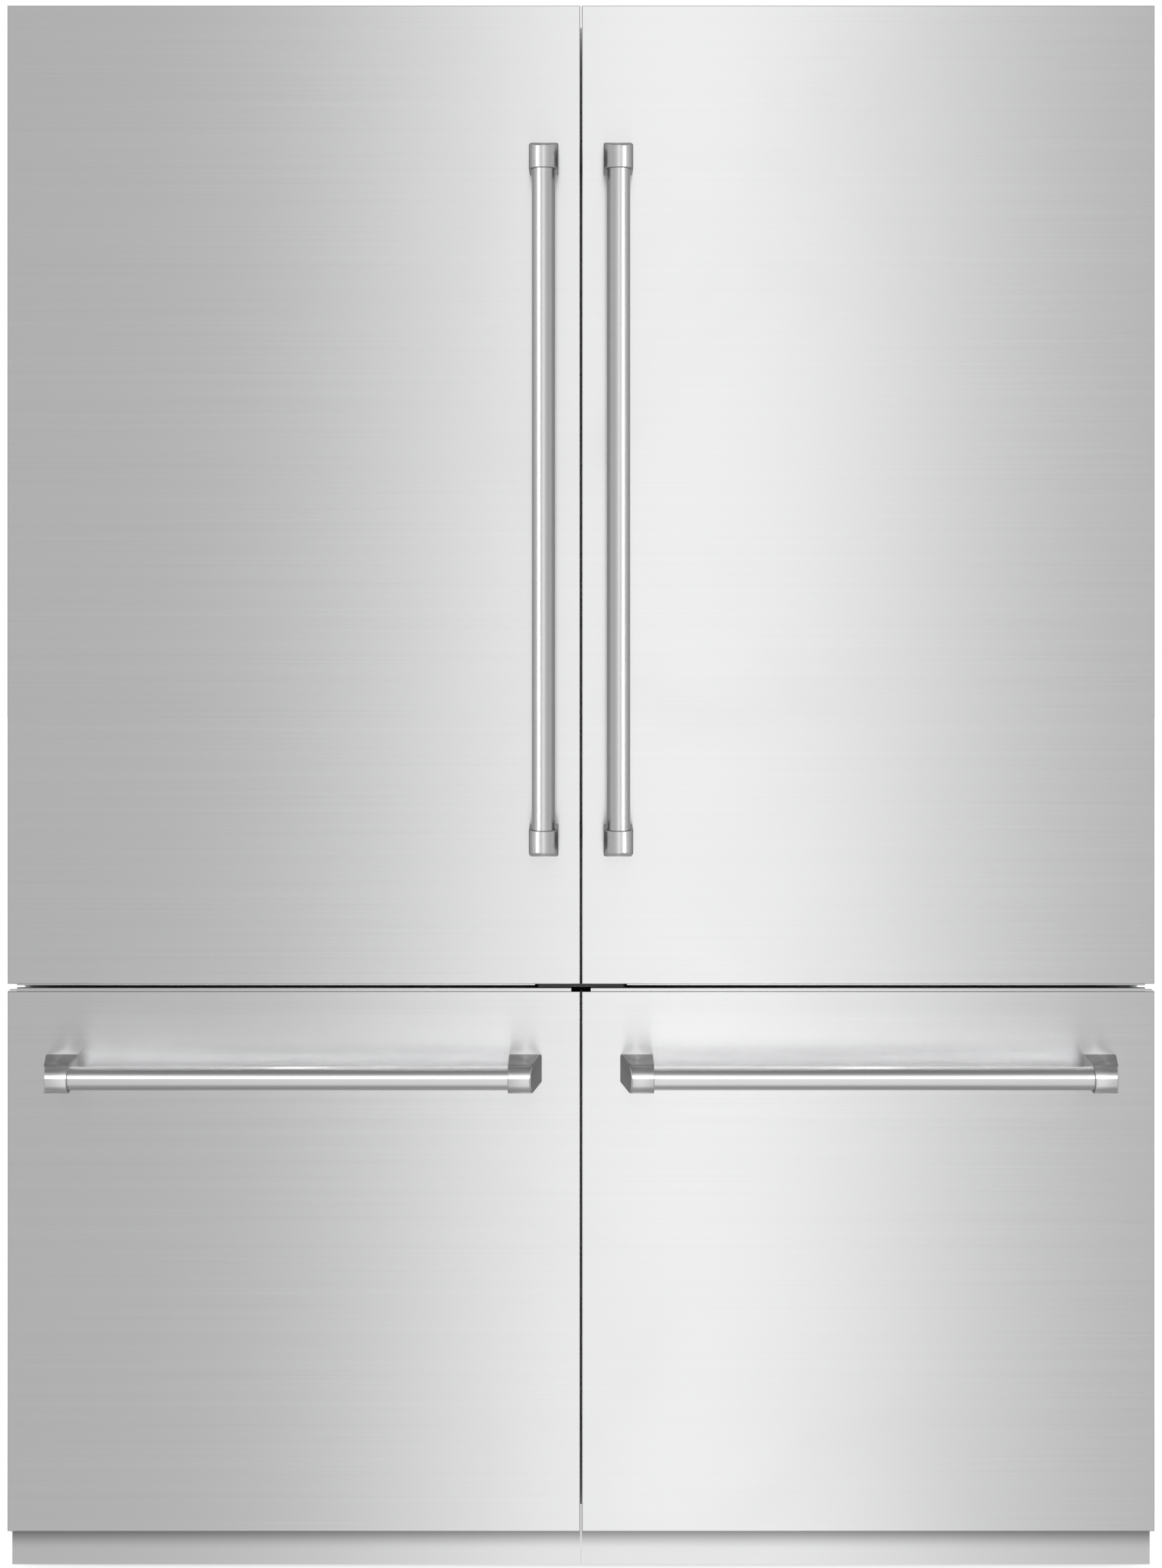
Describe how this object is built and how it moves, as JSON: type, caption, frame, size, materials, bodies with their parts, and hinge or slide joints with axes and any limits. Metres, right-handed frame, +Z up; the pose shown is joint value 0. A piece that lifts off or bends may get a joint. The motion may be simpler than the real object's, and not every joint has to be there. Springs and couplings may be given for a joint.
{
  "type": "french door refrigerator",
  "caption": "Built-in stainless refrigerator pair: hinged upper doors over pull-out freezer drawers, with tubular bar handles.",
  "frame": {"origin": "on the floor, at the middle of the overall box", "axes": "+X to the right seen from the front, front faces -Y, +Z up"},
  "size_m": [1.52, 0.696, 2.077],
  "materials": {
    "brushed_stainless": "satin",
    "satin_stainless": "satin",
    "case_paint": "satin",
    "zinc_sheet": "satin",
    "core_grey": "matte",
    "liner_white": "gloss",
    "shelf_trim": "gloss",
    "gasket_grey": "matte",
    "clear_plastic": "gloss",
    "freezer_plastic": "satin",
    "shelf_glass": "gloss",
    "foam": "matte",
    "zinc_steel": "satin",
    "black_steel": "satin",
    "fin_aluminium": "satin",
    "black_plastic": "matte",
    "light_lens": "gloss"
  },
  "bodies": {
    "cabinet": {"outer_cases": "case_paint", "fixed_slides": "zinc_steel", "back_panels": "zinc_sheet", "machine_covers": "zinc_sheet", "cord_glands": "black_plastic", "base_frames": "zinc_steel", "levelling_feet": "black_plastic", "kick_plates": "brushed_stainless", "insulation": "foam", "fridge_liners": "liner_white", "freezer_liners": "liner_white", "hinge_plates": "zinc_steel", "fixing_brackets": "black_steel", "screws": "zinc_steel", "shelf_frames": "shelf_trim", "shelf_supports": "satin_stainless", "shelf_glass": "shelf_glass", "crispers": "clear_plastic", "interior_lights": "light_lens", "control_panels": "black_plastic", "evaporator_units": "fin_aluminium", "air_covers": "liner_white", "compressors": "black_steel", "condenser_units": "fin_aluminium"},
    "left_door": {"left_door_panel": "brushed_stainless", "left_door_core": "core_grey", "left_door_gasket": "gasket_grey", "left_door_bins": "clear_plastic", "left_door_handle_bar": "satin_stainless", "left_door_handle_brackets": "satin_stainless"},
    "left_drawer": {"left_drawer_panel": "brushed_stainless", "left_drawer_core": "core_grey", "left_drawer_gasket": "gasket_grey", "left_drawer_handle_bar": "satin_stainless", "left_drawer_handle_brackets": "satin_stainless", "left_drawer_basket": "freezer_plastic", "left_drawer_slides": "zinc_steel"},
    "left_slide_middles": {"left_middle_slides": "zinc_steel"},
    "left_tray": {"left_drawer_tray": "freezer_plastic"},
    "left_cooling_fan": {"left_evaporator_fan": "black_plastic"},
    "left_machine_fan": {"left_condenser_fan": "black_plastic"},
    "left_rollers": {"left_rear_rollers": "black_plastic"},
    "right_door": {"right_door_panel": "brushed_stainless", "right_door_core": "core_grey", "right_door_gasket": "gasket_grey", "right_door_bins": "clear_plastic", "right_door_handle_bar": "satin_stainless", "right_door_handle_brackets": "satin_stainless"},
    "right_drawer": {"right_drawer_panel": "brushed_stainless", "right_drawer_core": "core_grey", "right_drawer_gasket": "gasket_grey", "right_drawer_handle_bar": "satin_stainless", "right_drawer_handle_brackets": "satin_stainless", "right_drawer_basket": "freezer_plastic", "right_drawer_slides": "zinc_steel"},
    "right_slide_middles": {"right_middle_slides": "zinc_steel"},
    "right_tray": {"right_drawer_tray": "freezer_plastic"},
    "right_cooling_fan": {"right_evaporator_fan": "black_plastic"},
    "right_machine_fan": {"right_condenser_fan": "black_plastic"},
    "right_rollers": {"right_rear_rollers": "black_plastic"}
  },
  "joints": [
    {"name": "left_door_hinge", "type": "hinge", "parent": "cabinet", "child": "left_door", "pos_m": [-0.734, -0.238, 0.781], "axis": [0, 0, -1], "range_deg": [0, 110]},
    {"name": "left_drawer_slide", "type": "slide", "parent": "cabinet", "child": "left_drawer", "axis": [0, -1, 0], "range_m": [0, 0.4]},
    {"name": "left_middle_slide", "type": "slide", "parent": "cabinet", "child": "left_slide_middles", "axis": [0, -1, 0], "range_m": [0, 0.2]},
    {"name": "left_tray_slide", "type": "slide", "parent": "left_drawer", "child": "left_tray", "axis": [0, 1, 0], "range_m": [0, 0.13]},
    {"name": "left_cooling_fan_spin", "type": "hinge", "parent": "cabinet", "child": "left_cooling_fan", "pos_m": [-0.3775, 0.268, 0.653], "axis": [0, 1, 0], "continuous": true},
    {"name": "left_machine_fan_spin", "type": "hinge", "parent": "cabinet", "child": "left_machine_fan", "pos_m": [-0.281, 0.234, 0.14], "axis": [1, 0, 0], "continuous": true},
    {"name": "left_roller_spin", "type": "hinge", "parent": "cabinet", "child": "left_rollers", "pos_m": [-0.071, 0.3, 0.016], "axis": [1, 0, 0], "continuous": true},
    {"name": "right_door_hinge", "type": "hinge", "parent": "cabinet", "child": "right_door", "pos_m": [0.734, -0.238, 0.781], "axis": [0, 0, 1], "range_deg": [0, 110]},
    {"name": "right_drawer_slide", "type": "slide", "parent": "cabinet", "child": "right_drawer", "axis": [0, -1, 0], "range_m": [0, 0.4]},
    {"name": "right_middle_slide", "type": "slide", "parent": "cabinet", "child": "right_slide_middles", "axis": [0, -1, 0], "range_m": [0, 0.2]},
    {"name": "right_tray_slide", "type": "slide", "parent": "right_drawer", "child": "right_tray", "axis": [0, 1, 0], "range_m": [0, 0.13]},
    {"name": "right_cooling_fan_spin", "type": "hinge", "parent": "cabinet", "child": "right_cooling_fan", "pos_m": [0.3775, 0.268, 0.653], "axis": [0, 1, 0], "continuous": true},
    {"name": "right_machine_fan_spin", "type": "hinge", "parent": "cabinet", "child": "right_machine_fan", "pos_m": [0.281, 0.234, 0.14], "axis": [1, 0, 0], "continuous": true},
    {"name": "right_roller_spin", "type": "hinge", "parent": "cabinet", "child": "right_rollers", "pos_m": [0.071, 0.3, 0.016], "axis": [1, 0, 0], "continuous": true}
  ],
  "couplings": [
    {"joint": "left_middle_slide", "follows": "left_drawer_slide", "ratio": 0.5},
    {"joint": "right_middle_slide", "follows": "right_drawer_slide", "ratio": 0.5}
  ]
}
